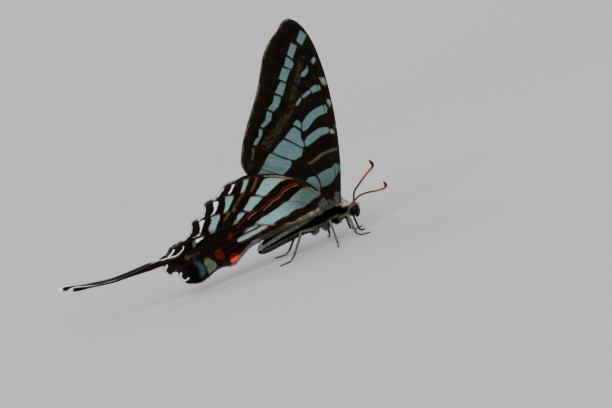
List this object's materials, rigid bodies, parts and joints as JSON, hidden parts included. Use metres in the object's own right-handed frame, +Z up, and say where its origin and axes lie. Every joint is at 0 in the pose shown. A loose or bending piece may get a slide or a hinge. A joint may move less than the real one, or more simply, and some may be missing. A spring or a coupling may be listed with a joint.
{
  "type": "zebra swallowtail butterfly model",
  "caption": "Life-size zebra swallowtail butterfly standing with its wings closed over its back, with long hindwing tails, as a still display model.",
  "frame": {"origin": "centre of the bounding box, at the height of the feet", "axes": "+Z up, +X the way the butterfly faces, +Y to its left"},
  "size_m": [0.0802, 0.0204, 0.0516],
  "materials": {
    "wing_scales": "matte overlapping scales, ridged by the veins",
    "body_hair": "short soft hair",
    "eye_lens": "glossy faceted lens",
    "antenna_horn": "satin",
    "leg_horn": "satin"
  },
  "bodies": {
    "root": {"head": "body_hair", "thorax": "body_hair", "abdomen": "body_hair", "proboscis": "leg_horn", "eye_right": "eye_lens", "palp_right": "body_hair", "antenna_right": "antenna_horn", "forewing_right": "wing_scales", "hindwing_right": "wing_scales", "tail_right": "wing_scales", "leg_front_right_femur": "leg_horn", "leg_front_right_tibia": "leg_horn", "leg_front_right_foot": "leg_horn", "leg_middle_right_femur": "leg_horn", "leg_middle_right_tibia": "leg_horn", "leg_middle_right_foot": "leg_horn", "leg_hind_right_femur": "leg_horn", "leg_hind_right_tibia": "leg_horn", "leg_hind_right_foot": "leg_horn", "eye_left": "eye_lens", "palp_left": "body_hair", "antenna_left": "antenna_horn", "forewing_left": "wing_scales", "hindwing_left": "wing_scales", "tail_left": "wing_scales", "leg_front_left_femur": "leg_horn", "leg_front_left_tibia": "leg_horn", "leg_front_left_foot": "leg_horn", "leg_middle_left_femur": "leg_horn", "leg_middle_left_tibia": "leg_horn", "leg_middle_left_foot": "leg_horn", "leg_hind_left_femur": "leg_horn", "leg_hind_left_tibia": "leg_horn", "leg_hind_left_foot": "leg_horn"}
  },
  "joints": []
}
